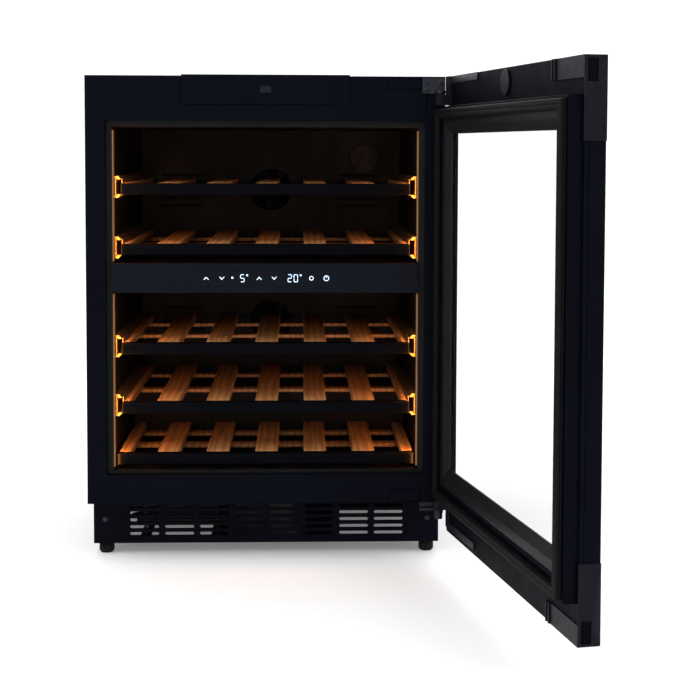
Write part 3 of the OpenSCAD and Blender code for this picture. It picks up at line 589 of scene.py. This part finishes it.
THREAD, THREAD_ROOT, THREAD_CREST = 0.0015, 0.0043, 0.0050
HEAD_R, HEAD_HEIGHT, CROSS_ARMS = 0.0044, 0.0016, 4
SHANK_R, SHANK = 0.0024, 0.010


def foot(node):
    """A plain round levelling foot, stepped in near its top, with a threaded stud."""
    lo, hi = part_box(node)
    x, y, _ = centre(lo, hi)
    r = (hi.x - lo.x) / 2
    profile = [(0, 0.0), (r - 0.0030, 0.0), (r - 0.0024, 0.0004), (r - 0.0002, 0.0034), (r, 0.0040),
               (r, 0.0152), (r - 0.0004, 0.0159), (r - 0.0010, 0.0163), (r - 0.0010, 0.0194),
               (r - 0.0016, 0.0199), (THREAD_CREST, 0.0200)]
    z = 0.021
    while z < hi.z - 0.002:
        profile += [(THREAD_ROOT, z), (THREAD_CREST, z + THREAD / 2)]
        z += THREAD
    profile += [(THREAD_ROOT, hi.z - 0.001), (0.0035, hi.z), (0, hi.z)]
    bm = bmesh.new()
    lathe(bm, Vector((x, y, 0.0)), profile, steps=40)
    piece(node + "_turned", bm, node, "foot_rubber", node)


def pan_head(bm, x, y, z):
    """A domed head facing -Y with a cross recess, and its shank."""
    angles = turn(48)
    dome = ((1.0, 0.0), (0.97, 0.55), (0.80, 0.85), (0.60, 0.97), (0.52, 1.0))
    rows = [[(share * HEAD_R, out * HEAD_HEIGHT, a) for a in angles] for share, out in dome]
    cross = []
    for a in angles:
        arm = abs(math.cos(CROSS_ARMS / 2 * a)) ** 6
        cross.append((HEAD_R * (0.18 + 0.30 * arm), HEAD_HEIGHT, a))
    rows.append(cross)
    rows.append([(q * 0.9, HEAD_HEIGHT * 0.35, a) for q, _, a in cross])
    made = [[bm.verts.new((x + q * math.cos(a), y - d, z + q * math.sin(a))) for q, d, a in row]
            for row in rows]
    for a, b in zip(made, made[1:]):
        band(bm, a, b)
    bm.faces.new(made[-1])
    shank = [[bm.verts.new((x + SHANK_R * math.cos(a), y + d, z + SHANK_R * math.sin(a))) for a in angles]
             for d in (0.0, SHANK)]
    for a, b in zip([made[0], shank[0]], shank):
        band(bm, a, b)
    bm.faces.new(shank[-1])


def cabinet_screws():
    bm = bmesh.new()
    for lo, hi in islands("cabinet_screws"):
        x, _, z = centre(lo, hi)
        pan_head(bm, x, lo.y + HEAD_HEIGHT, z)
    piece("cabinet_screw_heads", bm, "cabinet", "hinge_steel", "cabinet_screws")


for node in ("foot_front_left", "foot_front_right", "foot_rear_left", "foot_rear_right"):
    foot(node)
cabinet_screws()

# ---------------------------------------------------------------- fans

HUB, HUB_BORE = 0.3, 0.0026  # the hub as a share of the rotor, and the hole for its shaft
RING_WIRES, GUARD_WIRE = (0.28, 0.52, 0.76, 1.0), 0.0011


def blade(bm, middle, hub, r, depth, start, blades, pitch):
    """One swept, cambered blade: two skins and the band that joins their edges."""
    across, along = 9, 8
    root = hub * 0.94
    skins = []
    for side in (-1, 1):
        rows = []
        for i in range(along + 1):
            s = i / along
            radius = root + (r - root) * s
            chord = (0.58 - 0.10 * s) * 2 * math.pi / blades
            row = []
            for j in range(across + 1):
                u = j / across
                a = start + pitch * s * 0.55 + (u - 0.5) * chord
                camber = math.sin(math.pi * u) * depth * 0.10
                y = depth * (0.14 + 0.72 * u) - camber
                thick = 0.0009 * (1 - 0.7 * abs(2 * u - 1) ** 3)
                row.append(bm.verts.new((middle.x + radius * math.cos(a), middle.y + y + side * thick,
                                         middle.z + radius * math.sin(a))))
            rows.append(row)
        skins.append(rows)
    for rows in skins:
        sheet(bm, rows)
    band(bm, *(rim(rows) for rows in skins))


def rotor(node, blades, pitch):
    """Blades on a rounded hub, inside the CAD rotor's own disc and depth."""
    lo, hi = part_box(node)
    x, _, z = centre(lo, hi)
    middle = Vector((x, lo.y, z))
    r, depth = (hi.x - lo.x) / 2 - 0.0003, hi.y - lo.y
    hub = r * HUB
    bm = bmesh.new()
    lathe(bm, middle, [(HUB_BORE, 0.0), (hub - 0.003, 0.0), (hub - 0.0008, 0.0008), (hub, 0.003),
                       (hub, depth - 0.001), (hub - 0.001, depth), (HUB_BORE, depth), (HUB_BORE, 0.0)],
          axis="Y", steps=56)
    for start in turn(blades):
        blade(bm, middle, hub, r, depth, start, blades, pitch)
    piece(node + "_blades", bm, node, "fan_plastic", node, angle=40.0)


def fan_guards():
    """Wire rings and four spokes over each circulation fan."""
    bm = bmesh.new()
    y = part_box("air_covers")[0].y - 0.0012
    for node in ("fan_upper", "fan_lower"):
        lo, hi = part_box(node)
        cx, _, cz = centre(lo, hi)
        r = (hi.x - lo.x) / 2
        for share in RING_WIRES:
            ring = (r + 0.002) * share
            tube(bm, [(cx + ring * math.cos(a), y, cz + ring * math.sin(a)) for a in turn(56)],
                 GUARD_WIRE, steps=8, closed=True)
        for a in (math.pi / 4 + k * math.pi / 2 for k in range(4)):
            ends = (r * RING_WIRES[0], r + 0.008)
            tube(bm, [(cx + q * math.cos(a), y, cz + q * math.sin(a)) for q in ends], GUARD_WIRE, steps=8)
    piece("fan_guards", bm, "cabinet", "shelf_black")


rotor("fan_upper", 7, 0.5)
rotor("fan_lower", 7, 0.5)
rotor("condenser_fan", 5, 0.6)
fan_guards()

# ---------------------------------------------------------------- machinery

LEG_PLATE, PLATE_PAST = 0.003, 0.012  # the compressor's plate, and how far it reaches past the shell
SHOULDER, DOME_STEPS = 0.088, 14  # where its dome starts, above the plate's underside
WIRES, WIRE_R, WIRE_MARGIN, WIRE_SET_IN = 18, 0.0008, 0.022, 0.006
TUBE_R, LAYERS = 0.003, (0.028, 0.056)  # the condenser's tube, and its layers above the tray
PIN_W, PIN_H = 0.001, 0.002  # halves of a pin's section
PINS = ((-0.0070, -0.002), (0.0070, -0.002), (0.0, 0.003))
CHANNELS, CHANNEL, CHANNEL_SLOPE, PRESSED = 5, 0.034, 0.008, 0.0007
CHANNEL_START, CHANNEL_FLAT = 0.055, 0.066  # from the back panel's side, to a channel's end and its floor


def compressor():
    """A domed shell with a weld seam round it, on a plate over four rubber feet, and a terminal box."""
    lo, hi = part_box("compressor")
    feet = islands("compressor_feet")
    cx = sum((a.x + b.x) / 2 for a, b in feet) / len(feet)
    cy = sum((a.y + b.y) / 2 for a, b in feet) / len(feet)
    r = abs((feet[-1][0].x + feet[-1][1].x) / 2 - cx)
    z0 = lo.z
    wall, crown = z0 + SHOULDER, hi.z
    profile = [(0, z0 + LEG_PLATE), (r - 0.012, z0 + LEG_PLATE), (r - 0.003, z0 + LEG_PLATE + 0.004),
               (r - 0.001, z0 + 0.014), (r - 0.001, z0 + 0.048), (r - 0.0002, z0 + 0.049), (r, z0 + 0.0505),
               (r, z0 + 0.0545), (r - 0.0002, z0 + 0.056), (r - 0.002, z0 + 0.0575), (r - 0.002, wall)]
    for k in range(1, DOME_STEPS):
        a = math.pi / 2 * k / DOME_STEPS
        profile.append(((r - 0.002) * math.cos(a), wall + (crown - wall) * math.sin(a)))
    profile.append((0, crown))
    bm = bmesh.new()
    lathe(bm, Vector((cx, cy, 0)), profile, steps=72)
    block(bm, (lo.x, lo.y, z0), (cx + r + PLATE_PAST, hi.y, z0 + LEG_PLATE), 0.001)
    block(bm, (cx + r - 0.004, cy - 0.026, z0 + 0.026), (hi.x, cy + 0.026, z0 + 0.076), 0.003, 3)
    piece("compressor_body", bm, "cabinet", "compressor_paint", "compressor", angle=40.0)


def condenser_wires():
    """Wires across the condenser's tubes."""
    lo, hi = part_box("condenser")
    bm = bmesh.new()
    for up in LAYERS:
        for k in range(WIRES):
            x = lo.x + WIRE_MARGIN + k * (hi.x - lo.x - 2 * WIRE_MARGIN) / (WIRES - 1)
            z = lo.z + up + TUBE_R + 0.0006
            tube(bm, [(x, lo.y + WIRE_SET_IN, z), (x, hi.y - WIRE_SET_IN, z)], WIRE_R, steps=6)
    piece("condenser_wires", bm, "cabinet", "condenser_tube")


def inlet_pins():
    """Three flat pins in the mains inlet."""
    lo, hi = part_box("power_inlet")
    mx, _, mz = centre(lo, hi)
    bm = bmesh.new()
    for dx, dz in PINS:
        block(bm, (mx + dx - PIN_W, hi.y - 0.019, mz + dz - PIN_H),
              (mx + dx + PIN_W, hi.y - 0.004, mz + dz + PIN_H), 0.0004)
    piece("inlet_pins", bm, "cabinet", "bright_steel")


def back_panel():
    """Stiffening channels pressed into the rear face only, so that the foam stays covered."""
    lo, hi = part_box("back_panel")
    xs = [lo.x, lo.x + CHANNEL_START, lo.x + CHANNEL_FLAT, hi.x - CHANNEL_FLAT, hi.x - CHANNEL_START, hi.x]
    zs, floor_rows = [lo.z], []
    for k in range(CHANNELS):
        m = lo.z + (hi.z - lo.z) * (k + 0.5) / CHANNELS
        a, b = m - CHANNEL / 2, m + CHANNEL / 2
        zs += [a, a + CHANNEL_SLOPE, b - CHANNEL_SLOPE, b]
        floor_rows += [len(zs) - 3, len(zs) - 2]
    zs.append(hi.z)
    bm = bmesh.new()
    faces = []
    for y, deep in ((hi.y, PRESSED), (lo.y, 0.0)):
        faces.append([[bm.verts.new((x, y - (deep if i in (2, 3) and j in floor_rows else 0.0), z))
                       for j, z in enumerate(zs)] for i, x in enumerate(xs)])
    for rows in faces:
        sheet(bm, rows)
    band(bm, *(rim(rows) for rows in faces))
    piece("back_panel_pressed", bm, "cabinet", "zinc_steel", "back_panel", angle=8.0)


compressor()
condenser_wires()
inlet_pins()
back_panel()

# ---------------------------------------------------------------- stage, lights and camera

HALF_FLOOR, BEHIND, SWEEP, SWEEP_STEPS, TALL = 14.0, 4.0, 2.2, 24, 9.0
FLOOR_DROP = 0.0002  # keeps the floor clear of the feet's undersides
FLOOR_GLOW, SKY = 0.16, 1.05
AMBER, LED_WATTS, LED_WIDTH, LED_OFF, LED_THROW = (1.0, 0.36, 0.06), 1.7, 0.006, 0.004, 0.30
LENS, SENSOR, SHIFT = 75.22, 36.0, -0.16
CAMERA_AT = (0.0539, -2.7119, 0.6990)
YAW, PITCH, ROLL = -2.033, 90 - 3.461, 0.174


def studio():
    """A pale floor that sweeps up into a wall, and an even white sky."""
    line = [(-HALF_FLOOR, 0.0), (BEHIND, 0.0)]
    for k in range(1, SWEEP_STEPS + 1):
        a = math.pi / 2 * k / SWEEP_STEPS
        line.append((BEHIND + SWEEP * math.sin(a), SWEEP - SWEEP * math.cos(a)))
    line.append((BEHIND + SWEEP, TALL))
    bm = bmesh.new()
    sheet(bm, [[bm.verts.new((x, y, z - FLOOR_DROP)) for x in (-HALF_FLOOR, HALF_FLOOR)] for y, z in line])
    me = bpy.data.meshes.new("floor")
    bm.to_mesh(me)
    bm.free()
    for p in me.polygons:
        p.use_smooth = True
    pale = finish("floor_pale", (0.90, 0.90, 0.903), (0.93, 0.93, 0.932), (0.6, 0.72),
                  spec=0.2, patch=0.7, grain=60.0)
    surface = pale.node_tree.nodes["Principled BSDF"].inputs
    surface["Emission Color"].default_value = (1, 1, 1, 1)
    surface["Emission Strength"].default_value = FLOOR_GLOW
    me.materials.append(pale)
    floor = bpy.data.objects.new("floor", me)
    bpy.context.scene.collection.objects.link(floor)
    world = bpy.data.worlds.new("studio")
    world.use_nodes = True
    sky = world.node_tree.nodes["Background"].inputs
    sky["Color"].default_value = (1, 1, 1, 1)
    sky["Strength"].default_value = SKY
    bpy.context.scene.world = world
    bpy.context.scene.view_settings.view_transform = "Standard"


def area(name, at, towards, size, power, colour=(1, 1, 1), size_y=None):
    d = bpy.data.lights.new(name, "AREA")
    d.energy, d.color, d.size = power, colour, size
    if size_y:
        d.shape, d.size_y = "RECTANGLE", size_y
    o = bpy.data.objects.new(name, d)
    o.location = at
    o.rotation_euler = (Vector(towards) - Vector(at)).to_track_quat("-Z", "Y").to_euler()
    bpy.context.scene.collection.objects.link(o)


def strip_lights():
    """The light that the cabinet's own strips throw, in and back from each strip."""
    for lo, hi in islands("light_strips"):
        s = 1 if hi.x > 0 else -1
        x = lo.x - LED_OFF if s > 0 else hi.x + LED_OFF
        mid, tall = (lo.z + hi.z) / 2, hi.z - lo.z
        area(f"led_{'r' if s > 0 else 'l'}_{round(mid * 1000)}", (x, lo.y + LED_OFF, mid),
             (x - s * LED_THROW, lo.y + LED_THROW, mid), LED_WIDTH, tall * LED_WATTS, AMBER, size_y=tall)


def camera():
    cam = bpy.data.cameras.new("camera")
    cam.lens, cam.sensor_width = LENS, SENSOR
    cam.shift_y = SHIFT
    cam.clip_end = 60.0
    o = bpy.data.objects.new("camera", cam)
    place = Matrix.Translation(CAMERA_AT)
    for degrees, axis in ((YAW, "Z"), (PITCH, "X"), (ROLL, "Z")):
        place = place @ Matrix.Rotation(math.radians(degrees), 4, axis)
    o.matrix_world = place
    bpy.context.scene.collection.objects.link(o)
    bpy.context.scene.camera = o


studio()
area("key", (-2.6, -2.4, 3.2), (0, 0, 0.4), 2.4, 55)
area("fill", (2.8, -1.8, 2.4), (0, 0, 0.4), 2.4, 30)
area("back", (0.5, 3.2, 3.0), (0, 0, 0.6), 2.6, 40)
strip_lights()
camera()
